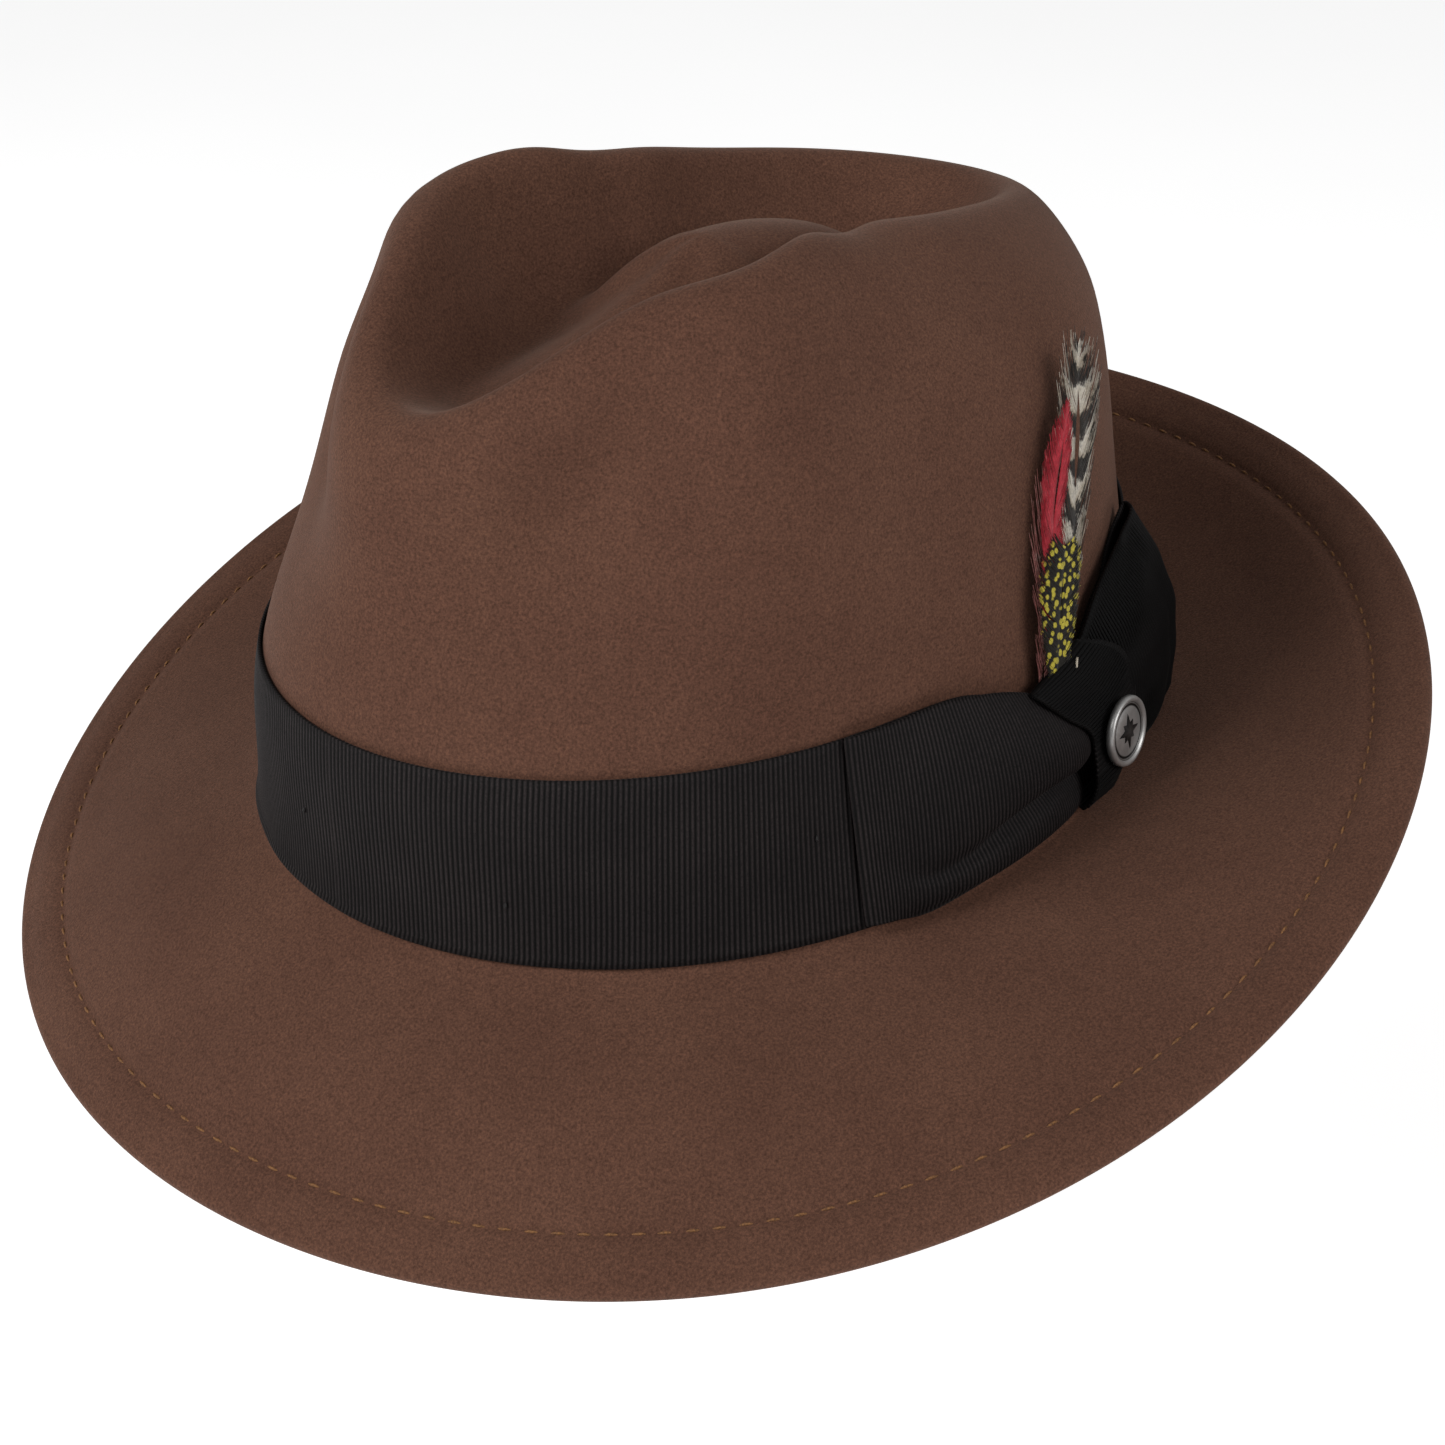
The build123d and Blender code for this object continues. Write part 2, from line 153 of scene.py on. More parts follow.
def felt_profile(turn):
    """Outer face of the felt at each turn: (turns, samples, 2), smooth from the dome to the edge."""
    corners = felt_corners(turn)
    before = [corners[0]] + corners[:-1]
    after = corners[1:] + [corners[-1]]
    headings = [unit(b - a) for a, b in zip(before, after)]
    headings[0] = np.tile((1.0, 0.0), (len(turn), 1))
    samples = []
    for place, count in enumerate(SAMPLES):
        start, end = corners[place], corners[place + 1]
        reach = np.linalg.norm(end - start, axis=-1, keepdims=True) / 3
        first = start + headings[place] * reach
        second = end - headings[place + 1] * reach
        for t in np.linspace(0, 1, count, endpoint=False):
            samples.append(
                start * (1 - t) ** 3 + 3 * first * t * (1 - t) ** 2
                + 3 * second * t * t * (1 - t) + end * t ** 3
            )
    samples.append(corners[-1])
    profile = np.stack(samples, 1)
    crown = sum(SAMPLES[:8])
    for repeat in range(SMOOTHING_PASSES):
        inner = profile[:, 1:crown]
        mean = (profile[:, :crown - 1] + profile[:, 2:crown + 1]) / 2
        profile[:, 1:crown] = inner * 0.5 + mean * 0.5
    return profile


def in_space(turn, profile):
    """Points (turns, samples, 3) from reach and height at each turn."""
    reach = profile[..., 0]
    cosine = np.cos(turn)[:, None]
    sine = np.sin(turn)[:, None]
    return np.stack([reach * cosine, reach * sine, profile[..., 1]], -1)


def hollow(points, start, end, radius, depth):
    """Depth of a soft hollow along the line from start to end, at each point."""
    start = np.array(start)
    line = np.array(end) - start
    share = np.clip((points - start) @ line / (line @ line), 0, 1)
    gap = np.linalg.norm(points - start - share[..., None] * line, axis=-1)
    return depth * np.exp(-(gap / radius) ** 2)


PINCH_HOLLOWS = (
    ((71.0, 34.0, 84.0), (53.0, 42.0, 99.0), 11.0, 4.0),
    ((71.0, -34.0, 84.0), (53.0, -42.0, 99.0), 11.0, 4.0),
)


def grid_normals(points, closed):
    """Normals of a grid of points (columns, rows, 3); closed grids join last column to first."""
    if closed:
        along = np.roll(points, -1, 0) - np.roll(points, 1, 0)
    else:
        along = np.gradient(points, axis=0)
    across = np.gradient(points, axis=1)
    return unit(np.cross(along, across))


def felt_surface(turn):
    """Outer face of the whole felt with its hollows, small waves and stitch groove, and its normals."""
    profile = felt_profile(turn)
    points = in_space(turn, profile)
    points[:, 0] = points[:, 0].mean(0)
    normals = grid_normals(points, True)
    normals *= np.sign((normals[:, 60:61] * points[:, 60:61] * (1, 1, 0)).sum(-1, keepdims=True) + 1e-9)
    normals[:, 0] = (0, 0, 1)
    push = np.zeros(points.shape[:2])
    for start, end, radius, depth in PINCH_HOLLOWS:
        push -= hollow(points, start, end, radius, depth)
    height = points[..., 2]
    waves = 0.35 * np.sin(3 * turn + 0.6)[:, None] * np.sin(height * 0.06 + 1.0)
    waves += 0.22 * np.sin(7 * turn + 1.9)[:, None] * np.cos(height * 0.045)
    first_brim = sum(SAMPLES[:9])
    steps = np.linalg.norm(np.diff(points, axis=1), axis=-1)
    from_edge = np.concatenate([np.cumsum(steps[:, ::-1], 1)[:, ::-1], np.zeros((len(turn), 1))], 1)
    fade = np.clip((np.arange(points.shape[1]) - 12) / 20.0, 0, 1)
    fade = fade * np.clip((first_brim - 8 - np.arange(points.shape[1])) / 14.0, 0, 1)
    push += waves * fade
    groove = np.exp(-((from_edge - WELT_WIDTH + STITCH_INSET) / 1.1) ** 2)
    swell = np.exp(-((from_edge - 0.45 * WELT_WIDTH) / (0.28 * WELT_WIDTH)) ** 2)
    on_brim = np.arange(points.shape[1]) > first_brim + 4
    push += np.where(on_brim, 0.45 * swell - 0.75 * groove, 0)
    return points + normals * push[..., None], normals, from_edge


# ---------------------------------------------------------------- mesh helpers

def new_object(name, verts, faces, uvs=None, smooth=True):
    """Mesh object from points in millimetres; uvs holds one pair per vertex."""
    mesh = bpy.data.meshes.new(name)
    mesh.from_pydata([tuple(v) for v in np.asarray(verts) * MM], [], faces)
    if uvs is not None:
        layer = mesh.uv_layers.new(name="UVMap")
        index = np.zeros(len(mesh.loops), np.int32)
        mesh.loops.foreach_get("vertex_index", index)
        layer.data.foreach_set("uv", np.asarray(uvs, np.float32)[index].ravel())
    mesh.validate()
    mesh.update()
    if smooth:
        mesh.polygons.foreach_set("use_smooth", [True] * len(mesh.polygons))
    piece = bpy.data.objects.new(name, mesh)
    bpy.context.scene.collection.objects.link(piece)
    return piece


def grid_faces(columns, rows, closed, first=0, flip=False):
    """Quads of a grid whose vertices run row by row within each column."""
    faces = []
    last = columns if closed else columns - 1
    for column in range(last):
        after = (column + 1) % columns
        for row in range(rows - 1):
            quad = (
                first + column * rows + row,
                first + after * rows + row,
                first + after * rows + row + 1,
                first + column * rows + row + 1,
            )
            faces.append(quad[::-1] if flip else quad)
    return faces


def tube_faces(faces, first, rings, sides):
    """Faces of a closed tube whose vertices run round each ring, with both ends capped."""
    for ring in range(rings - 1):
        for side in range(sides):
            a = first + ring * sides + side
            b = first + ring * sides + (side + 1) % sides
            faces.append((a, b, b + sides, a + sides))
    faces.append(tuple(range(first, first + sides))[::-1])
    faces.append(tuple(range(first + (rings - 1) * sides, first + rings * sides)))


def sheet_object(name, points, uvs, closed, thickness):
    """Sheet from a grid of points (columns, rows, 3), given thickness by a solidify modifier."""
    columns, rows = points.shape[:2]
    faces = grid_faces(columns, rows, closed)
    piece = new_object(name, points.reshape(-1, 3), faces, uvs.reshape(-1, 2))
    solid = piece.modifiers.new("thickness", "SOLIDIFY")
    solid.thickness = thickness * MM
    solid.offset = -1.0
    solid.use_even_offset = False
    return piece


def place(piece, body, material, slot, *nodes):
    """Give a finished piece its material and its body if it rides on one, and hide the CAD nodes it
    replaces; the slot is not used.
    """
    piece.data.materials.clear()
    piece.data.materials.append(material)
    if body:
        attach(piece, body)
    if nodes:
        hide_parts(*nodes)
    return piece


# ---------------------------------------------------------------- materials

class Nodes:
    """Short way to build a node material."""

    def __init__(self, name):
        self.material = bpy.data.materials.new(name)
        self.material.use_nodes = True
        self.tree = self.material.node_tree
        self.shader = self.tree.nodes["Principled BSDF"]
        self.coords = self.tree.nodes.new("ShaderNodeTexCoord")

    def add(self, kind, inputs=None, **settings):
        node = self.tree.nodes.new(kind)
        for key, value in settings.items():
            setattr(node, key, value)
        for key, value in (inputs or {}).items():
            self.feed(node.inputs[key], value)
        return node

    def feed(self, socket, value):
        if isinstance(value, bpy.types.NodeSocket):
            self.tree.links.new(value, socket)
        else:
            socket.default_value = value

    def set(self, **values):
        for key, value in values.items():
            self.feed(self.shader.inputs[key.replace("_", " ")], value)

    def noise(self, scale, detail=4.0, roughness=0.55, stretch=None):
        place = self.coords.outputs["Object"]
        if stretch:
            place = self.add("ShaderNodeMapping", {"Vector": place, "Scale": stretch}).outputs["Vector"]
        inputs = {"Vector": place, "Scale": scale, "Detail": detail, "Roughness": roughness}
        return self.add("ShaderNodeTexNoise", inputs).outputs["Fac"]

    def ramp(self, fac, *stops):
        node = self.add("ShaderNodeValToRGB", {"Fac": fac})
        ramp = node.color_ramp
        while len(ramp.elements) < len(stops):
            ramp.elements.new(0.5)
        for element, (position, colour) in zip(ramp.elements, stops):
            element.position = position
            element.color = (*colour, 1) if len(colour) == 3 else colour
        return node.outputs["Color"]

    def mix(self, fac, a, b, blend="MIX"):
        node = self.add("ShaderNodeMix", data_type="RGBA", blend_type=blend)
        self.feed(node.inputs[0], fac)
        self.feed(node.inputs[6], a)
        self.feed(node.inputs[7], b)
        return node.outputs[2]

    def math(self, operation, a, b=0.0, clamp=False):
        node = self.add("ShaderNodeMath", operation=operation, use_clamp=clamp)
        self.feed(node.inputs[0], a)
        self.feed(node.inputs[1], b)
        return node.outputs[0]

    def bump(self, height, strength, distance, below=None):
        inputs = {"Height": height, "Strength": strength, "Distance": distance}
        if below is not None:
            inputs["Normal"] = below
        return self.add("ShaderNodeBump", inputs).outputs["Normal"]


def felt_material():
    """Brushed wool felt: mottled brown, fine nap and a soft sheen."""
    n = Nodes("felt")
    cloud = n.noise(28, 3, 0.5)
    patch = n.noise(210, 3, 0.6)
    fibre = n.noise(1900, 3, 0.7)
    nap = n.noise(3200, 2, 0.6)
    base = n.ramp(cloud, (0.30, (0.101, 0.047, 0.031)), (0.70, (0.121, 0.058, 0.038)))
    speck = n.ramp(patch, (0.30, (0.93, 0.92, 0.92)), (0.70, (1.0, 1.0, 1.0)))
    hair = n.ramp(fibre, (0.30, (0.56, 0.54, 0.53)), (0.50, (0.96, 0.96, 0.96)), (0.72, (1.50, 1.45, 1.40)))
    colour = n.mix(1.0, n.mix(1.0, base, speck, "MULTIPLY"), hair, "MULTIPLY")
    n.set(Base_Color=colour, Roughness=0.95, Specular_IOR_Level=0.12)
    n.set(Sheen_Weight=0.16, Sheen_Roughness=0.35, Sheen_Tint=(0.95, 0.74, 0.62, 1))
    soft = n.bump(patch, 0.10, 0.0004)
    fuzz = n.bump(n.math("ADD", fibre, n.math("MULTIPLY", nap, 0.6)), 0.60, 0.00024, soft)
    n.set(Normal=fuzz)
    return n.material


def ribbon_material(name, dark, light, sheen):
    """Grosgrain: UV x counts the ribs; painted shade darkens their valleys and a painted highlight brightens
    their crests, and the yarn's weave breaks up the crests.
    """
    n = Nodes(name)
    split = n.add("ShaderNodeSeparateXYZ", {"Vector": n.coords.outputs["UV"]})
    phase = n.math("FRACT", split.outputs["X"])
    valley = n.math("ABSOLUTE", n.math("SUBTRACT", n.math("MULTIPLY", phase, 2.0), 1.0))
    wide = n.noise(60, 3, 0.5)
    yarn = n.noise(2300, 2, 0.7)
    tint = n.mix(n.ramp(wide, (0.3, (0, 0, 0)), (0.7, (1, 1, 1))), dark, light)
    # painted shade in the rib valleys and a painted highlight on the rib crests, multiplied into the
    # ribbon's colour
    shade = n.ramp(valley, (0.15, (2.60, 2.5, 2.5)), (0.75, (0.20, 0.20, 0.20)))
    painted_rib_light_tint = n.mix(1.0, tint, shade, "MULTIPLY")
    grain = n.ramp(yarn, (0.3, (0.5, 0.5, 0.5)), (0.7, (1.55, 1.5, 1.5)))
    n.set(Base_Color=n.mix(1.0, painted_rib_light_tint, grain, "MULTIPLY"))
    n.set(Roughness=0.68, Specular_IOR_Level=0.14, Sheen_Weight=sheen, Sheen_Roughness=0.4)
    n.set(Normal=n.bump(yarn, 0.5, 0.00012))
    return n.material


def thread_material(name, colour, shade):
    """Twisted thread."""
    n = Nodes(name)
    twist = n.noise(2600, 2, 0.5)
    n.set(Base_Color=n.mix(n.ramp(twist, (0.35, (0, 0, 0)), (0.65, (1, 1, 1))), shade, colour))
    n.set(Roughness=0.7, Specular_IOR_Level=0.3, Normal=n.bump(twist, 0.5, 0.0001))
    return n.material


def leather_material():
    """Brown sweatband leather with fine grain and darker pores."""
    n = Nodes("sweat_leather")
    cell = n.add("ShaderNodeTexVoronoi", {"Vector": n.coords.outputs["Object"], "Scale": 900.0})
    cloud = n.noise(45, 4, 0.6)
    grain = n.noise(1300, 3, 0.6)
    base = n.ramp(cloud, (0.3, (0.110, 0.052, 0.028)), (0.7, (0.175, 0.088, 0.048)))
    pores = n.ramp(cell.outputs["Distance"], (0.0, (0.82, 0.80, 0.78)), (0.5, (1.05, 1.05, 1.05)))
    n.set(Base_Color=n.mix(1.0, base, pores, "MULTIPLY"))
    n.set(Roughness=n.math("ADD", n.math("MULTIPLY", grain, 0.25), 0.38), Specular_IOR_Level=0.45)
    n.set(Normal=n.bump(cell.outputs["Distance"], 0.4, 0.00018, n.bump(grain, 0.3, 0.0001)))
    return n.material


def satin_material():
    """Lining satin: a soft shine broken by a fine one-way weave."""
    n = Nodes("lining_satin")
    cloud = n.noise(30, 3, 0.5)
    weave = n.noise(900, 2, 0.5, stretch=(1.0, 1.0, 8.0))
    base = n.ramp(cloud, (0.3, (0.085, 0.052, 0.034)), (0.7, (0.135, 0.088, 0.060)))
    lines = n.ramp(weave, (0.35, (0.85, 0.85, 0.85)), (0.65, (1.12, 1.12, 1.12)))
    n.set(Base_Color=n.mix(1.0, base, lines, "MULTIPLY"))
    n.set(Roughness=0.34, Specular_IOR_Level=0.5, Sheen_Weight=0.15)
    n.set(Normal=n.bump(weave, 0.25, 0.00012))
    return n.material


def badge_material():
    """Antiqued silver: bright on what stands up, dark in the hollows, finely scratched."""
    n = Nodes("badge_metal")
    scratch = n.noise(1400, 3, 0.6, stretch=(1.0, 6.0, 1.0))
    cloud = n.noise(420, 4, 0.6)
    split = n.add("ShaderNodeSeparateXYZ", {"Vector": n.coords.outputs["UV"]})
    polish = n.math("MULTIPLY", split.outputs["Y"], n.math("ADD", n.math("MULTIPLY", cloud, 0.5), 0.7), True)
    dark, mid, bright = (0.012, 0.011, 0.011), (0.20, 0.195, 0.19), (0.56, 0.55, 0.54)
    n.set(Base_Color=n.ramp(polish, (0.0, dark), (0.45, mid), (1.0, bright)))
    n.set(Metallic=0.75, Roughness=n.math("ADD", n.math("MULTIPLY", scratch, 0.25), 0.30))
    n.set(Normal=n.bump(scratch, 0.2, 0.00005))
    return n.material


def metal_material(name, colour):
    """Plain pin metal with fine turning marks."""
    n = Nodes(name)
    marks = n.noise(1600, 2, 0.5)
    n.set(Base_Color=n.mix(marks, colour, tuple(c * 0.7 for c in colour[:3]) + (1,)))
    n.set(Metallic=1.0, Roughness=0.35)
    return n.material


def feather_material(name, stops, pattern, shine=0.08):
    """Feather barbs; UV x runs out along a barb and UV y up the shaft."""
    n = Nodes(name)
    fine = n.noise(1900, 2, 0.6)
    value = pattern(n)
    colour = n.ramp(value, *stops)
    grain = n.ramp(fine, (0.3, (0.8, 0.8, 0.8)), (0.7, (1.15, 1.15, 1.15)))
    n.set(Base_Color=n.mix(1.0, colour, grain, "MULTIPLY"))
    n.set(Roughness=0.6, Specular_IOR_Level=0.2, Sheen_Weight=shine)
    return n.material


def bars(n):
    """Dark and pale bars up the shaft, slanting out along the barbs."""
    split = n.add("ShaderNodeSeparateXYZ", {"Vector": n.coords.outputs["UV"]})
    slant = n.math("ADD", split.outputs["Y"], n.math("MULTIPLY", split.outputs["X"], 0.10))
    wobble = n.math("MULTIPLY", n.noise(300, 3, 0.6), 0.22)
    return n.math("FRACT", n.math("MULTIPLY", n.math("ADD", slant, wobble), 6.0))


def streaks(n):
    """Soft streaks for dyed barbs."""
    return n.noise(420, 3, 0.6)


def dots(n):
    """Round spots scattered over the barbs."""
    inputs = {"Vector": n.coords.outputs["Object"], "Scale": 600.0, "Randomness": 0.9}
    cells = n.add("ShaderNodeTexVoronoi", inputs)
    ragged = n.math("MULTIPLY", n.noise(1500, 2, 0.5), 0.22)
    return n.math("ADD", cells.outputs["Distance"], ragged)


# ---------------------------------------------------------------- felt and welt stitching

def make_felt(material):
    """Crown and brim as one closed shell of felt, doubled under at the welt."""
    turn = np.linspace(0, 2 * math.pi, COLUMNS, endpoint=False)
    outer, normals, from_edge = felt_surface(turn)
    welt_share = np.clip((WELT_WIDTH + STITCH_INSET - from_edge) / 1.2, 0, 1)
    depth = FELT + (WELT - FELT) * welt_share * welt_share * (3 - 2 * welt_share)
    inner = outer - normals * depth[..., None]
    edge_out = unit(outer[:, -1] - outer[:, -3])
    middle = (outer[:, -1] + inner[:, -1]) / 2
    half = np.linalg.norm(outer[:, -1] - inner[:, -1], axis=-1, keepdims=True) / 2
    arc = []
    for angle in np.linspace(0, math.pi, 9)[1:-1]:
        arc.append(middle + normals[:, -1] * half * math.cos(angle) + edge_out * half * math.sin(angle))
    ring = np.concatenate([outer[:, 1:], np.stack(arc, 1), inner[:, :0:-1]], 1)
    columns, rows = ring.shape[:2]
    verts = np.concatenate([ring.reshape(-1, 3), outer[:1, 0], inner[:1, 0]])
    faces = grid_faces(columns, rows, True, flip=True)
    top = columns * rows
    for column in range(columns):
        after = (column + 1) % columns
        faces.append((top, column * rows, after * rows))
        faces.append((top + 1, after * rows + rows - 1, column * rows + rows - 1))
    piece = new_object("felt_hood", verts, faces)
    place(piece, None, material, "felt", "felt_crown", "brim_rear", "brim_front")
    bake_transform(piece)
    return outer, normals, from_edge, turn


def make_stitches(outer, normals, from_edge, turn, material):
    """Lock stitches along the welt, each sunk at both ends."""
    pitch, length, radius = 4.9, 2.9, 0.31
    line = []
    ups = []
    for column in range(len(turn)):
        row = np.argmin(np.abs(from_edge[column, 80:] - WELT_WIDTH + STITCH_INSET)) + 80
        line.append(outer[column, row])
        ups.append(normals[column, row])
    line = np.array(line)
    ups = np.array(ups)
    steps = np.linalg.norm(np.roll(line, -1, 0) - line, axis=1)
    run = np.concatenate([[0], np.cumsum(steps)])
    closed_line = np.vstack([line, line[:1]])
    closed_ups = np.vstack([ups, ups[:1]])
    count = int(run[-1] / pitch)

    def at(distance):
        distance = distance % run[-1]
        spot = np.array([np.interp(distance, run, closed_line[:, axis]) for axis in range(3)])
        up = np.array([np.interp(distance, run, closed_ups[:, axis]) for axis in range(3)])
        return spot, up
    verts, faces, uvs = [], [], []
    sides, rings = 6, 7
    for stitch in range(count):
        middle = stitch * run[-1] / count + random.uniform(-0.15, 0.15)
        for ring in range(rings):
            share = ring / (rings - 1)
            spot, up = at(middle + (share - 0.5) * length)
            ahead, _ = at(middle + (share - 0.5) * length + 0.5)
            forward = (ahead - spot) / np.linalg.norm(ahead - spot)
            side = np.cross(up, forward)
            bow = math.sin(math.pi * share)
            centre = spot + up * (0.42 * bow - 0.22)
            thick = radius * (0.45 + 0.55 * bow)
            for place_round in range(sides):
                angle = 2 * math.pi * place_round / sides
                verts.append(centre + side * thick * math.cos(angle) + up * thick * math.sin(angle))
        first = stitch * sides * rings
        tube_faces(faces, first, rings, sides)
    piece = new_object("welt_stitches", verts, faces)
    place(piece, None, material, "welt_thread", "welt_stitching_rear", "welt_stitching_front")
    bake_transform(piece)


# ---------------------------------------------------------------- ribbon band and bow

def wall_points(turn, share, stand_off):
    """Points at a stand-off from the crown wall; share 0 is the break, 1 the band's top edge."""
    turn, share, stand_off = np.broadcast_arrays(turn, share, stand_off)
    shape = turn.shape
    angles, index = np.unique(np.round(turn.ravel(), 5), return_inverse=True)
    profile = felt_profile(angles)[:, sum(SAMPLES[:4]):sum(SAMPLES[:8]) + 4][:, ::-1]
    low = around(BREAK_HEIGHT, angles)
    high = around(BAND_TOP_HEIGHT, angles)
    height = low[index] + share.ravel() * (high - low)[index]
    reach = np.empty(height.size)
    slope = np.empty(height.size)
    for place_round, column in enumerate(profile):
        mask = index == place_round
        rising = np.maximum.accumulate(column[:, 1] + np.arange(len(column)) * 1e-6)
        reach[mask] = np.interp(height[mask], rising, column[:, 0])
        slope[mask] = np.interp(height[mask] + 1, rising, column[:, 0]) - reach[mask]
    lean = np.arctan2(slope, 1.0)
    out = reach + np.cos(lean) * stand_off.ravel()
    up = height - np.sin(lean) * stand_off.ravel()
    flat = turn.ravel()
    return np.stack([out * np.cos(flat), out * np.sin(flat), up], -1).reshape(shape + (3,))


def smooth_table(stations, values, at):
    """Smooth cubic curve through values at the stations, read at each place."""
    stations = np.asarray(stations, float)
    values = np.asarray(values, float)
    slopes = np.gradient(values, stations, axis=0)
    index = np.clip(np.searchsorted(stations, at) - 1, 0, len(stations) - 2)
    width = stations[index + 1] - stations[index]
    t = (at - stations[index]) / width
    a, b = values[index], values[index + 1]
    return (
        (2 * t ** 3 - 3 * t ** 2 + 1) * a + (t ** 3 - 2 * t ** 2 + t) * width * slopes[index]
        + (3 * t ** 2 - 2 * t ** 3) * b + (t ** 3 - t ** 2) * width * slopes[index + 1]
    )


RIB = 1.05
RIB_HEIGHT = 0.28


def ribbed_sheet(name, surface, rows, closed=False, thickness=0.6, per_rib=5):
    """Grosgrain sheet: surface(u, v) gives points, and ribs stand across it every RIB along u."""
    probe = surface(np.linspace(0, 1, 400)[:, None], np.array([[0.5]]))[:, 0]
    run = np.concatenate([[0], np.cumsum(np.linalg.norm(np.diff(probe, axis=0), axis=1))])
    ribs = int(run[-1] / RIB)
    columns = ribs * per_rib + (0 if closed else 1)
    along = np.arange(columns) / (ribs * per_rib)
    u = np.interp(along * run[-1], run, np.linspace(0, 1, 400))
    v = np.linspace(0, 1, rows)
    points = surface(u[:, None], v[None, :])
    normals = grid_normals(points, closed)
    phase = (along * ribs) % 1.0
    rib = 1 - np.abs(2 * phase - 1) ** 2
    selvedge = np.clip(np.minimum(v, 1 - v) / 0.012, 0.35, 1)
    points = points + normals * (rib[:, None] * RIB_HEIGHT * selvedge[None, :])[..., None]
    uvs = np.stack(np.broadcast_arrays((along * ribs)[:, None], v[None, :]), -1)
    piece = sheet_object(name, points, uvs, closed, thickness)
    return piece, run[-1]


def make_band(material):
    """Ribbon round the crown, with its overlap hidden under the bow."""
    def surface(u, v):
        turn = u * 2 * math.pi
        gathered = 0.34 * np.exp(-((np.degrees(turn) - 105) / 14) ** 2)
        share = 0.03 + v * (0.97 - gathered)
        roll = 0.25 * np.exp(-((v - 1) / 0.03) ** 2)
        pucker = 0.12 * np.sin(turn * 23) * np.exp(-(v / 0.12) ** 2)
        return wall_points(turn, share, 0.75 + roll + pucker + 0 * u)
    piece, length = ribbed_sheet("ribbon_band", surface, 22, closed=True)
    place(piece, "hat", material, "grosgrain", "ribbon_band")


def bow_sheet(name, table, material, rows, nodes):
    """Loop of the bow: the table has rows of (place, turns, shares, stand-offs) across the ribbon."""
    places = [row[0] for row in table]
    across = np.linspace(0, 1, 9)
    grids = []
    for part in (1, 2, 3):
        rows_across = [np.interp(across, np.linspace(0, 1, len(row[part])), row[part]) for row in table]
        grids.append(np.array(rows_across))

    def surface(u, v):
        u = np.broadcast_to(u, np.broadcast_shapes(np.shape(u), np.shape(v)))
        v = np.broadcast_to(v, u.shape)
        lines_u = u[:, 0]
        lines_v = v[0]
        found = []
        for grid in grids:
            along = np.stack([smooth_table(places, grid[:, k], lines_u) for k in range(grid.shape[1])], 1)
            full = np.stack([smooth_table(across, along[k], lines_v) for k in range(len(lines_u))], 0)
            found.append(full)
        turn, share, stand_off = found
        return wall_points(np.radians(turn), share, stand_off)
    piece, length = ribbed_sheet(name, surface, rows)
    place(piece, "hat", material, "grosgrain", *nodes)


# Each row: place along the ribbon, then turns (degrees), wall shares and stand-offs from the
# ribbon's lower edge to its upper one
FRONT_WING = (
    (0.00, (101,), (0.28, 0.44, 0.60), (1.9, 2.2, 1.9)),
    (0.14, (92,), (0.10, 0.50, 0.78), (1.3, 1.7, 1.3)),
    (0.30, (77, 78, 77), (0.03, 0.50, 0.97), (1.2, 1.2, 1.2)),
    (0.43, (65.4, 65.0, 64.4), (0.03, 0.52, 1.01), (1.2, 1.3, 1.2)),
    (0.455, (63.9, 63.3, 62.6), (0.045, 0.53, 1.016), (1.9, 2.1, 1.9)),
    (0.48, (64.6, 63.9, 63.3), (0.04, 0.53, 1.016), (2.7, 3.3, 2.6)),
    (0.58, (72,), (0.012, 0.09, 0.16, 0.22, 0.32, 0.48, 0.66, 0.84, 1.012),
     (2.6, 4.4, 4.8, 4.3, 4.9, 5.3, 5.1, 4.2, 2.6)),
    (0.66, (79,), (0.018, 0.08, 0.15, 0.215, 0.30, 0.46, 0.65, 0.84, 1.008),
     (2.6, 4.6, 5.0, 3.9, 5.6, 6.3, 6.1, 4.8, 2.7)),
    (0.75, (86,), (0.025, 0.08, 0.17, 0.265, 0.325, 0.47, 0.64, 0.80, 0.955),
     (2.6, 4.6, 5.0, 3.4, 6.2, 7.3, 7.0, 5.4, 2.8)),
    (0.84, (93,), (0.03, 0.09, 0.19, 0.30, 0.34, 0.46, 0.60, 0.75, 0.875),
     (2.6, 4.4, 4.7, 2.8, 6.6, 7.8, 7.4, 5.6, 2.8)),
    (0.92, (99,), (0.03, 0.09, 0.19, 0.295, 0.325, 0.44, 0.56, 0.68, 0.775),
     (2.4, 4.0, 4.0, 2.0, 6.6, 7.8, 7.2, 5.4, 2.9)),
    (0.965, (103.5,), (0.03, 0.08, 0.16, 0.26, 0.305, 0.40, 0.50, 0.60, 0.69),
     (2.0, 3.0, 2.6, 1.6, 6.2, 7.2, 6.4, 4.8, 2.9)),
    (1.00, (107.5,), (0.05, 0.09, 0.15, 0.24, 0.30, 0.37, 0.45, 0.54, 0.62),
     (1.6, 2.0, 1.7, 1.4, 5.0, 5.8, 5.2, 4.0, 2.8)),
)
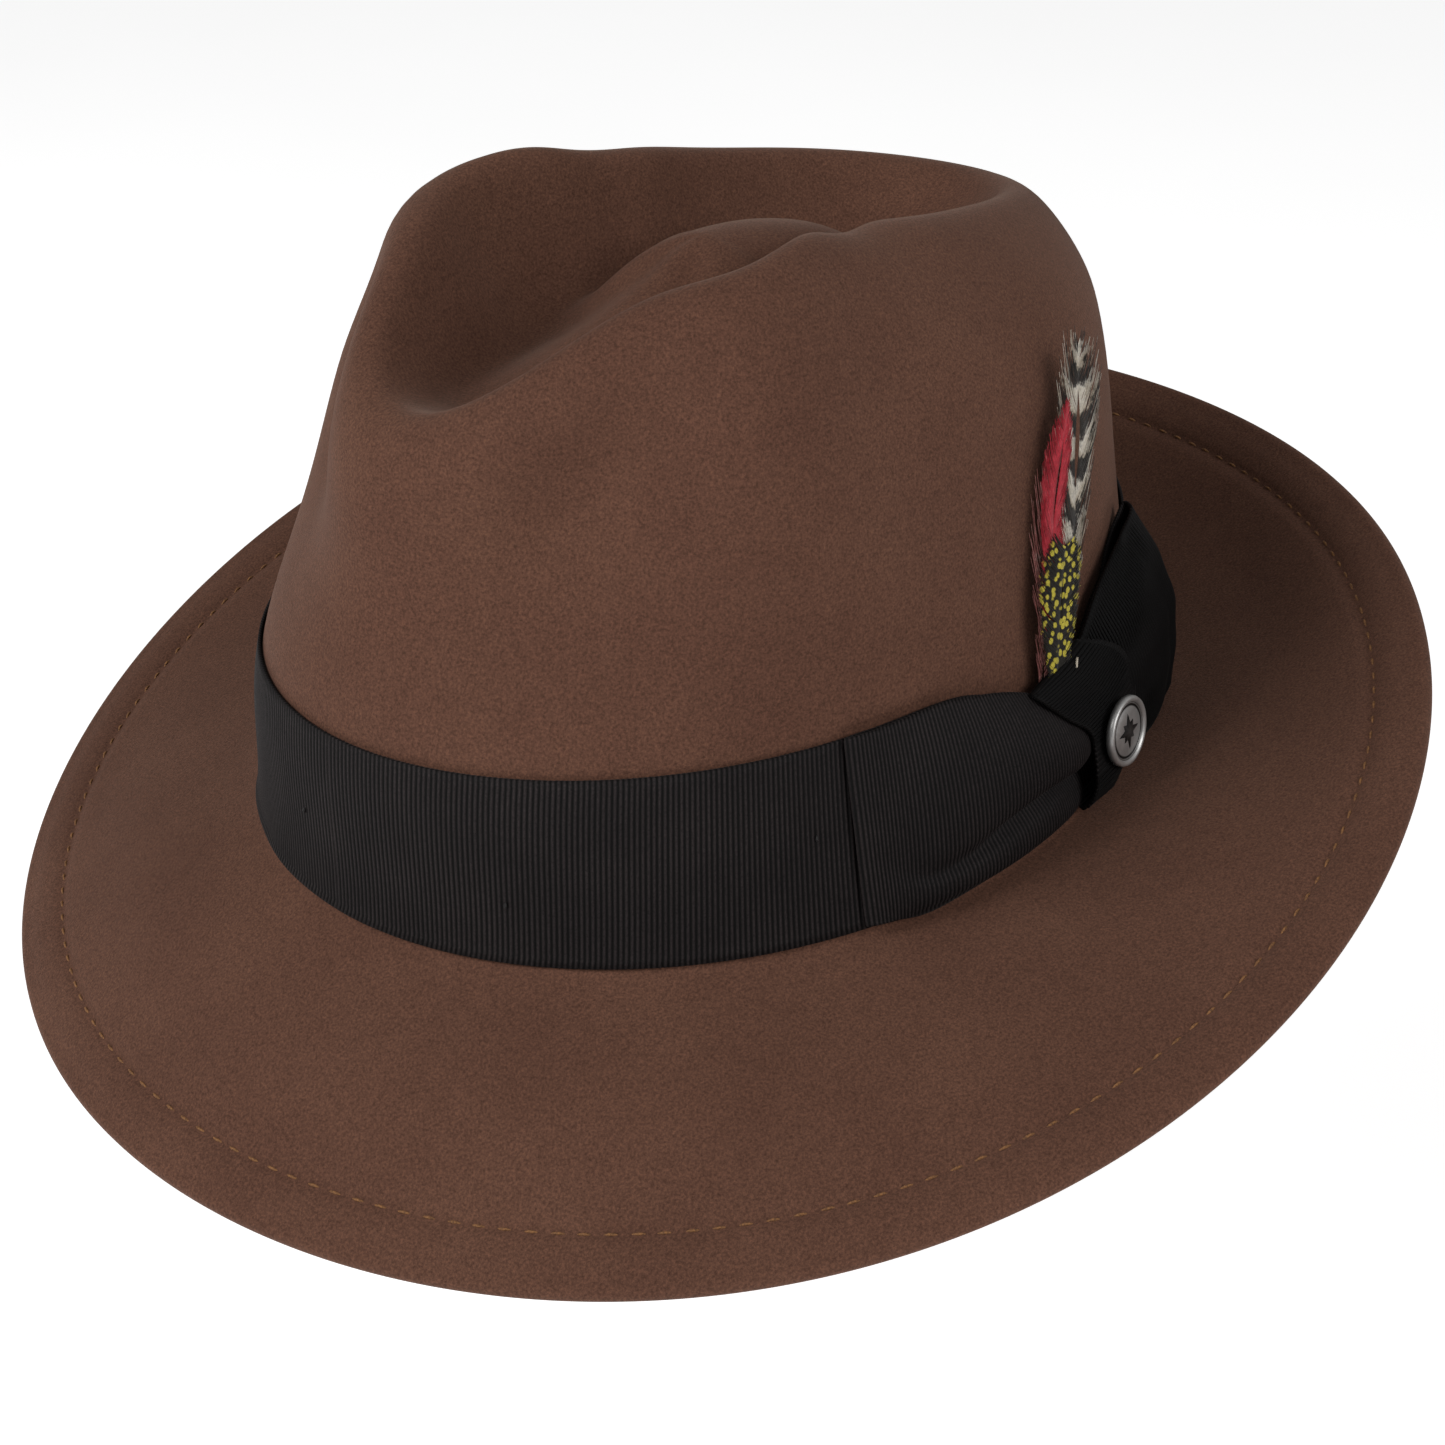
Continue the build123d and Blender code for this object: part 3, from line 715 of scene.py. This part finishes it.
REAR_WING = (
    (0.00, (118,), (0.30, 0.50, 0.72), (2.2, 2.2, 2.2)),
    (0.20, (126,), (0.05, 0.55, 1.00), (1.6, 1.8, 1.6)),
    (0.43, (137, 138, 138.5, 138, 136.8), (0.02, 0.32, 0.60, 0.90, 1.15), (1.8, 2.2, 2.6, 2.4, 1.8)),
    (0.46, (138.2, 139.4, 140, 139.4, 138), (0.02, 0.32, 0.60, 0.90, 1.185), (4.0, 5.2, 5.6, 4.6, 2.6)),
    (0.49, (137.6, 138.8, 139.4, 138.8, 137.2), (0.03, 0.32, 0.60, 0.90, 1.18), (7.0, 8.8, 9.2, 7.0, 3.8)),
    (0.62, (132.5, 133.5, 134, 133, 131.5), (0.03, 0.30, 0.58, 0.87, 1.13), (7.6, 10.2, 10.6, 8.2, 3.8)),
    (0.76, (127, 127.5, 128, 127, 126), (0.05, 0.29, 0.55, 0.83, 1.085), (6.8, 9.6, 10.0, 7.8, 3.6)),
    (0.90, (120, 120, 120, 119.5, 119), (0.10, 0.29, 0.50, 0.75, 1.0), (5.2, 7.4, 8.0, 6.6, 3.4)),
    (1.00, (112.5,), (0.20, 0.32, 0.45, 0.62, 0.86), (4.2, 5.0, 5.4, 5.0, 3.2)),
)
KNOT = (
    (0.00, (106, 111, 115.5), (0.10, 0.10, 0.10), (1.8, 1.8, 1.8)),
    (0.10, (104.8, 110, 114.8), (0.02, 0.012, 0.03), (2.8, 3.2, 2.8)),
    (0.20, (104.6, 110.2, 115.6), (0.079, 0.07, 0.11), (5.6, 6.4, 6.0)),
    (0.34, (105.8, 111.2, 117.5), (0.18, 0.20, 0.24), (6.8, 7.7, 7.3)),
    (0.46, (106.5, 112.5, 119.6), (0.338, 0.34, 0.36), (7.0, 7.9, 7.8)),
    (0.58, (106.0, 112.6, 120.6), (0.448, 0.47, 0.50), (7.0, 7.9, 7.8)),
    (0.72, (101.4, 109.5, 119), (0.60, 0.64, 0.68), (6.8, 8.0, 7.2)),
    (0.86, (97, 104.5, 113.5), (0.765, 0.80, 0.83), (6.0, 7.2, 6.6)),
    (0.94, (96.4, 102.6, 110.4), (0.80, 0.85, 0.885), (4.4, 5.0, 4.6)),
    (1.00, (97.6, 103.6, 110.4), (0.77, 0.81, 0.85), (2.4, 2.4, 2.4)),
)


def make_tacks(material):
    """Thread tacks on the ribbon."""
    verts, faces = [], []
    for turn, share in ((22.0, 0.35), (-5.0, 0.5), (58.0, 0.55)):
        spot = wall_points(np.radians([turn]), np.array([share]), np.array([1.05]))[0]
        out = np.array([math.cos(math.radians(turn)), math.sin(math.radians(turn)), 0])
        side = np.array([-out[1], out[0], 0])
        first = len(verts)
        for ring in range(5):
            share_round = ring / 4
            for place_round in range(8):
                angle = 2 * math.pi * place_round / 8
                rise = 0.28 * math.sin(math.pi * share_round)
                thick = 0.22 * (0.5 + math.sin(math.pi * share_round))
                centre = spot + np.array([0, 0, 1.3 * (share_round - 0.5)]) + out * rise
                verts.append(centre + side * thick * math.cos(angle) + out * thick * math.sin(angle))
        tube_faces(faces, first, 5, 8)
    place(new_object("ribbon_tacks", verts, faces), "hat", material, "black_thread", "ribbon_tacks")


# ---------------------------------------------------------------- badge

def joint_named(name):
    """The record's joint of that name."""
    return next(j for j in frame["record"]["behaviour"]["joints"] if j["name"] == name)


def badge_axes():
    """Centre of the badge's back in millimetres, and its across, up and out directions."""
    joint = joint_named("badge_spin")
    out = unit(np.array(joint["axis"], float))
    across = unit(np.cross((0, 0, 1), out))
    return np.array(joint["pos_m"]) / MM, across, np.cross(out, across), out


def make_badge(material):
    """Round badge: raised rim, dark groove, domed field and an eight-point star in the middle."""
    centre, across, up, out = badge_axes()
    profile = (
        (0.0, 1.55, 0.95), (2.5, 1.53, 0.95), (5.2, 1.42, 0.90), (5.4, 1.25, 0.05), (5.75, 1.22, 0.0),
        (5.9, 1.42, 0.60), (6.0, 1.45, 0.70), (6.1, 1.30, 0.1), (6.25, 1.55, 0.9), (6.55, 1.85, 1.0),
        (6.95, 1.92, 1.0), (7.3, 1.75, 1.0), (7.5, 1.3, 0.8), (7.5, 0.5, 0.45), (7.2, 0.1, 0.3),
        (0.0, 0.0, 0.2),
    )
    sides = 96
    verts, faces, uvs = [], [], []
    for radius, height, polish in profile:
        for side in range(sides):
            angle = 2 * math.pi * side / sides
            around_rim = across * radius * math.cos(angle) + up * radius * math.sin(angle)
            verts.append(centre + around_rim + out * height)
            uvs.append((side / sides, polish))
    for ring in range(len(profile) - 1):
        for side in range(sides):
            after = (side + 1) % sides
            a, b = ring * sides + side, ring * sides + after
            faces.append((a, a + sides, b + sides, b))
    first = len(verts)
    points = 16
    for radius_scale, height, polish in ((1.0, 1.50, 0.0), (0.86, 1.72, 0.04)):
        for corner in range(points):
            radius = (4.0 if corner % 2 == 0 else 1.9) * radius_scale
            if corner % 4 == 2:
                radius *= 0.72
            angle = math.pi * 2 * corner / points + math.pi / 2
            around_rim = across * radius * math.cos(angle) + up * radius * math.sin(angle)
            verts.append(centre + around_rim + out * height)
            uvs.append((corner / points, polish))
    verts.append(centre + out * 1.95)
    uvs.append((0.5, 0.25))
    for corner in range(points):
        after = (corner + 1) % points
        a, b = first + corner, first + after
        faces.append((a, b, b + points, a + points))
        faces.append((a + points, b + points, first + 2 * points))
    piece = new_object("badge", verts, faces, uvs)
    weld = bmesh.new()
    weld.from_mesh(piece.data)
    bmesh.ops.remove_doubles(weld, verts=weld.verts, dist=1e-6)
    bmesh.ops.recalc_face_normals(weld, faces=weld.faces)
    weld.to_mesh(piece.data)
    weld.free()
    piece.data.polygons.foreach_set("use_smooth", [True] * len(piece.data.polygons))
    place(piece, "badge", material, "badge_metal", "badge_face")


# ---------------------------------------------------------------- feather spray

SPRAY_BEARING = 88.0


def spray_axes():
    """Foot of the spray in millimetres, and its across, up and out directions."""
    up = unit(np.array(joint_named("feather_pull")["axis"], float))
    low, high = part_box("feather_quill")
    bearing = math.radians(SPRAY_BEARING)
    out = np.array([math.cos(bearing), math.sin(bearing), 0])
    out = unit(out - up * (out @ up))
    across = np.cross(up, out)
    middle = (np.array(low) + np.array(high)) / 2 / MM
    foot = middle + up * ((high[2] - low[2]) / MM / 2 / up[2] - 0.5)
    return foot, across, up, out


def strand(verts, faces, uvs, start, bend, end, width, side, along, rows=5):
    """Thin tapering barb from start through bend to end."""
    first = len(verts)
    for row in range(rows):
        t = row / (rows - 1)
        spot = start * (1 - t) ** 2 + 2 * bend * t * (1 - t) + end * t * t
        half = width * (1 - 0.75 * t) / 2
        verts.append(spot - side * half)
        verts.append(spot + side * half)
        uvs.append((t, along))
        uvs.append((t, along))
    for row in range(rows - 1):
        a = first + 2 * row
        faces.append((a, a + 1, a + 3, a + 2))


def make_vane(name, material, slot, nodes, shape):
    """Feather: barbs on both sides of the shaft's line, on the spray's plane."""
    foot, across, up, out = spray_axes()
    verts, faces, uvs = [], [], []
    count = shape["barbs"]
    for side_sign in (-1, 1):
        for barb in range(count):
            share = (barb + random.random() * 0.8) / count
            height = shape["low"] + share * (shape["high"] - shape["low"])
            centre = smooth_table(*shape["line"], np.array([share]))[0]
            half = smooth_table(*shape["width"], np.array([share]))[0] / 2
            reach = half * random.uniform(*shape["ragged"])
            lift = shape["off"] + 0.45 * math.sin(share * 9 + side_sign) * shape["wave"]
            root = foot + across * centre + up * height + out * lift
            sweep = reach * random.uniform(*shape["sweep"])
            tip = root + across * side_sign * reach + up * sweep - out * (0.055 * reach * reach / 4)
            tip = tip + out * random.uniform(-0.25, 0.25)
            bend = root + across * side_sign * reach * 0.55 + up * sweep * 0.30
            strand(verts, faces, uvs, root, bend, tip, shape["barb"], up, share)
    piece = new_object(name, verts, faces, uvs)
    solid = piece.modifiers.new("thickness", "SOLIDIFY")
    solid.thickness = 0.08 * MM
    solid.offset = 0
    place(piece, "feather_spray", material, slot, *nodes)


def make_rod(name, material, slot, nodes, points, radii, body, sides=8):
    """Tapering rod through the points, in millimetres."""
    points = np.array(points, float)
    fine = np.linspace(0, 1, 24)
    stations = np.linspace(0, 1, len(points))
    line = np.stack([smooth_table(stations, points[:, axis], fine) for axis in range(3)], 1)
    thick = np.interp(fine, np.linspace(0, 1, len(radii)), radii)
    heading = unit(np.gradient(line, axis=0))
    side = unit(np.cross(heading, (0.3, 1.0, 0.2)))
    other = np.cross(heading, side)
    verts, faces = [], []
    for spot, a, b, radius in zip(line, side, other, thick):
        for place_round in range(sides):
            angle = 2 * math.pi * place_round / sides
            verts.append(spot + (a * math.cos(angle) + b * math.sin(angle)) * radius)
    tube_faces(faces, 0, len(line), sides)
    return place(new_object(name, verts, faces), body, material, slot, *nodes)


# ---------------------------------------------------------------- inside the crown

def inner_ring(name, material, slot, node, low, high, stand_off, thickness, rows, ripple):
    """Closed sheet along the inside of the wall; low and high are shares of its height at each turn."""
    turn = np.linspace(0, 2 * math.pi, COLUMNS, endpoint=False)[:, None]
    v = np.linspace(0, 1, rows)[None, :]
    points = wall_points(turn, low + (high - low) * v, stand_off + ripple(turn, v))
    uvs = np.stack(np.broadcast_arrays(turn / (2 * math.pi), v), -1)
    piece = sheet_object(name, points, uvs, True, thickness)
    place(piece, "hat", material, slot, node)
    length = np.linalg.norm(np.diff(np.vstack([points[:, 0], points[:1, 0]]), axis=0), axis=1).sum()
    return piece, length * MM


def share_at(height):
    """Share of the wall that stands at a height, at each column of a ring."""
    turn = np.linspace(0, 2 * math.pi, COLUMNS, endpoint=False)
    low = around(BREAK_HEIGHT, turn)
    return ((height - low) / (around(BAND_TOP_HEIGHT, turn) - low))[:, None]


def make_inner_stitches(material):
    """Stitches that hold the sweatband to its reed."""
    verts, faces = [], []
    count = 170
    for stitch in range(count):
        turn = 2 * math.pi * stitch / count
        ends = [turn - 0.011, turn, turn + 0.011]
        spots = wall_points(np.array(ends), np.array([0.13] * 3), np.array([-3.55, -3.85, -3.55]))
        first = len(verts)
        forward = unit(spots[2] - spots[0])
        inward = -unit(spots[1] * (1, 1, 0))
        up = np.cross(forward, inward)
        for spot, thick in zip(spots, (0.15, 0.28, 0.15)):
            for place_round in range(6):
                angle = 2 * math.pi * place_round / 6
                verts.append(spot + inward * thick * math.cos(angle) + up * thick * math.sin(angle))
        tube_faces(faces, first, 3, 6)
    piece = new_object("sweatband_stitches", verts, faces)
    place(piece, "hat", material, "sweat_thread", "sweatband_stitching")


def tip_level():
    """Height of the lining's tip in millimetres."""
    low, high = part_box("lining_tip")
    return (low[2] + high[2]) / 2 / MM


def make_lining_tip(material):
    """Satin oval that closes the lining, gathered into soft pleats at its rim."""
    turn = np.linspace(0, 2 * math.pi, COLUMNS, endpoint=False)[:, None]
    share = np.linspace(0.0, 1.0, 36)[None, 1:]
    level = tip_level()
    rim = np.linalg.norm(wall_points(turn, share_at(level), -3.0)[:, 0, :2], axis=-1)[:, None]
    reach = rim * share
    pleat = 0.5 * np.sin(turn * 44) * np.clip((share - 0.8) / 0.2, 0, 1) ** 2
    height = level + 1.4 * (1 - share ** 2) - 0.8 * share ** 6 + pleat
    points = np.stack([reach * np.cos(turn), reach * np.sin(turn), height], -1)
    columns, rows = points.shape[:2]
    verts = np.concatenate([points.reshape(-1, 3), [(0, 0, level + 1.4)]])
    faces = grid_faces(columns, rows, True)
    for column in range(columns):
        faces.append((columns * rows, ((column + 1) % columns) * rows, column * rows))
    uvs = np.concatenate([points[..., :2].reshape(-1, 2) * MM, [(0, 0)]])
    piece = new_object("lining_tip", verts, faces, uvs)
    solid = piece.modifiers.new("thickness", "SOLIDIFY")
    solid.thickness = 0.35 * MM
    place(piece, "hat", material, "lining_satin", "lining_tip")


# ---------------------------------------------------------------- stage

CAMERA_BEARING = 44.71
CAMERA_RISE = 29.48
CAMERA_ROLL = 0.70
CAMERA_DISTANCE = 600.0
CAMERA_LENS = 67.86
CAMERA_SHIFT = (0.00826, -0.00306)
FLOOR_DROP = 190
FLOOR_HALF = 3000
SURROUND_STRENGTH = 0.24


def make_camera():
    """Camera at the picture's angle, looking at the middle of the head opening."""
    bearing, rise, roll = (math.radians(a) for a in (CAMERA_BEARING, CAMERA_RISE, CAMERA_ROLL))
    toward = Vector((math.cos(bearing) * math.cos(rise), math.sin(bearing) * math.cos(rise), math.sin(rise)))
    right = Vector((-math.sin(bearing), math.cos(bearing), 0))
    up = toward.cross(right)
    turned_right = right * math.cos(roll) - up * math.sin(roll)
    turned_up = right * math.sin(roll) + up * math.cos(roll)
    data = bpy.data.cameras.new("camera")
    data.sensor_width = 36.0
    data.lens = CAMERA_LENS
    data.shift_x, data.shift_y = CAMERA_SHIFT
    data.clip_start = 0.01
    camera = bpy.data.objects.new("camera", data)
    bpy.context.scene.collection.objects.link(camera)
    spot = toward * CAMERA_DISTANCE * MM
    facing = Matrix((turned_right, turned_up, toward)).transposed().to_4x4()
    camera.matrix_world = Matrix.Translation(spot) @ facing
    bpy.context.scene.camera = camera


def make_light(name, bearing, rise, distance, size, power):
    """Rectangular soft light aimed at the crown."""
    data = bpy.data.lights.new(name, "AREA")
    data.shape = "RECTANGLE"
    data.size, data.size_y = size
    data.energy = power
    light = bpy.data.objects.new(name, data)
    a, b = math.radians(bearing), math.radians(rise)
    aim = Vector((0, 0, 0.05))
    toward = Vector((math.cos(a) * math.cos(b), math.sin(a) * math.cos(b), math.sin(b)))
    light.location = aim + toward * distance
    light.rotation_euler = (light.location - aim).to_track_quat("Z", "Y").to_euler()
    bpy.context.scene.collection.objects.link(light)


def make_stage():
    """Pale floor well below the brim, a pale surround and soft lights, strongest from the hat's front."""
    n = Nodes("floor")
    pale = n.ramp(n.noise(3, 2), (0.3, (0.86, 0.86, 0.86)), (0.7, (0.89, 0.89, 0.89)))
    n.set(Base_Color=pale, Roughness=0.9, Emission_Color=(1, 1, 1, 1), Emission_Strength=0.6)
    low = cad_box[0][2] / MM - FLOOR_DROP
    size = FLOOR_HALF
    corners = [(-size, -size, low), (size, -size, low), (size, size, low), (-size, size, low)]
    floor = new_object("floor", corners, [(0, 1, 2, 3)], smooth=False)
    floor.data.materials.append(n.material)
    world = bpy.data.worlds.new("surround")
    world.use_nodes = True
    world.node_tree.nodes["Background"].inputs["Color"].default_value = (1, 1, 1, 1)
    world.node_tree.nodes["Background"].inputs["Strength"].default_value = SURROUND_STRENGTH
    bpy.context.scene.world = world
    make_light("key", -20, 34, 1.5, (0.8, 0.8), 15)
    make_light("front", 95, 30, 1.8, (1.0, 0.8), 14)
    bpy.context.scene.view_settings.view_transform = "Standard"


# ---------------------------------------------------------------- the hat

felt = felt_material()
grosgrain = ribbon_material("grosgrain", (0.0058, 0.0048, 0.0049, 1), (0.0085, 0.0071, 0.0071, 1), 0.02)
black_thread = thread_material("black_thread", (0.02, 0.018, 0.018, 1), (0.008, 0.007, 0.007, 1))
surface_points, surface_normals, edge_distance, surface_turn = make_felt(felt)
welt_thread = thread_material("welt_thread", (0.27, 0.125, 0.045, 1), (0.12, 0.056, 0.024, 1))
make_stitches(surface_points, surface_normals, edge_distance, surface_turn, welt_thread)
make_band(grosgrain)
bow_sheet("bow_front_wing", FRONT_WING, grosgrain, 60, ["bow_front_wing", "bow_base"])
bow_sheet("bow_rear_wing", REAR_WING, grosgrain, 40, ["bow_rear_wing"])
bow_sheet("bow_knot", KNOT, grosgrain, 30, ["bow_knot", "bow_stitches"])
make_tacks(black_thread)
make_badge(badge_material())
pin_metal = metal_material("pin_metal", (0.62, 0.47, 0.22, 1))
for pin_node in ("badge_post", "badge_clutch"):
    frame["nodes"][pin_node].data.materials.clear()
    frame["nodes"][pin_node].data.materials.append(pin_metal)

foot, across, up, out = spray_axes()
pale = thread_material("quill", (0.62, 0.56, 0.46, 1), (0.42, 0.36, 0.28, 1))
make_rod(
    "feather_quill", pale, "quill", ["feather_quill"],
    [foot + up * height + across * side + out * lift for height, side, lift in (
        (-17, 0, 0), (-8, 0, 0), (-1, 0.4, 1.2), (0.5, 2.6, 3.6), (3.5, 4.8, 4.0), (7, 5.4, 3.9))],
    (0.6, 0.6, 0.5, 0.38, 0.32, 0.22), "feather_spray",
)
pink = feather_material(
    "feather_pink",
    ((0.3, (0.30, 0.09, 0.08)), (0.55, (0.50, 0.20, 0.18)), (0.75, (0.62, 0.45, 0.40))), streaks)
barred = feather_material(
    "feather_barred",
    ((0.0, (0.02, 0.017, 0.015)), (0.40, (0.03, 0.025, 0.02)), (0.52, (0.42, 0.36, 0.28)),
     (0.85, (0.58, 0.54, 0.47)), (0.97, (0.05, 0.04, 0.035))), bars)
red = feather_material(
    "feather_red",
    ((0.3, (0.30, 0.012, 0.022)), (0.6, (0.46, 0.028, 0.045)), (0.8, (0.55, 0.10, 0.11))), streaks)
spotted = feather_material(
    "feather_spotted",
    ((0.0, (0.60, 0.52, 0.07)), (0.46, (0.50, 0.42, 0.05)), (0.56, (0.012, 0.010, 0.007))), dots)
make_vane("feather_wisps", pink, "feather_pink", ["feather_wisps"], {
    "low": -1, "high": 44, "barbs": 90, "barb": 0.16, "line": ((0, 0.5, 1), (-1.5, -4.0, -4.5)),
    "width": ((0, 0.3, 0.7, 1), (3, 8, 8, 3)), "ragged": (0.3, 1.15), "sweep": (1.4, 3.4), "off": 1.0,
    "wave": 1.0})
make_vane("feather_barred", barred, "feather_barred", ["feather_barred"], {
    "low": 10, "high": 68, "barbs": 280, "barb": 0.44, "line": ((0, 0.5, 1), (2.5, 4.6, 1.6)),
    "width": ((0, 0.25, 0.75, 1), (5, 11.5, 10.0, 3.5)), "ragged": (0.6, 1.2), "sweep": (1.7, 3.0),
    "off": 1.5, "wave": 1.4})
make_vane("feather_red", red, "feather_red", ["feather_red"], {
    "low": 8, "high": 57, "barbs": 260, "barb": 0.42, "line": ((0, 0.5, 1), (-1.2, -3.2, -1.4)),
    "width": ((0, 0.3, 0.7, 1), (5, 8.4, 6.8, 1.5)), "ragged": (0.8, 1.1), "sweep": (1.6, 2.4), "off": 2.2,
    "wave": 0.6})
make_vane("feather_spotted", spotted, "feather_spotted", ["feather_spotted"], {
    "low": 0, "high": 29, "barbs": 230, "barb": 0.46, "line": ((0, 0.5, 1), (0.3, 0, 0)),
    "width": ((0, 0.3, 0.75, 1), (4, 11.0, 12.0, 7)), "ragged": (0.88, 1.08), "sweep": (0.5, 0.9),
    "off": 3.0, "wave": 0.3})

leather = leather_material()
satin = satin_material()
sweat_thread = thread_material("sweat_thread", (0.2, 0.12, 0.07, 1), (0.10, 0.06, 0.04, 1))
sweatband, around_head = inner_ring(
    "sweatband", leather, "sweat_leather", "sweatband", 0.06, 1.06, -3.35, 1.0, 14,
    lambda turn, v: -0.25 * np.sin(v * 3.1) + 0.12 * np.sin(turn * 9))
make_inner_stitches(sweat_thread)
lining_side, around_lining = inner_ring(
    "lining_side", satin, "lining_satin", "lining_side", 1.0, share_at(tip_level() - 0.3), -2.7, 0.35, 20,
    lambda turn, v: -0.35 * (1 + np.sin(turn * 44)) * (0.3 + v))
make_lining_tip(satin)
bow_ribbon = ribbon_material("sweat_ribbon", (0.03, 0.018, 0.014, 1), (0.045, 0.03, 0.022, 1), 0.1)
for inner_node, inner_material in (
    ("sweatband_reed", metal_material("reed", (0.18, 0.12, 0.09, 1))),
    ("sweatband_seam_tape", leather),
    ("sweatband_bow", bow_ribbon),
):
    frame["nodes"][inner_node].data.materials.clear()
    frame["nodes"][inner_node].data.materials.append(inner_material)

make_camera()
make_stage()
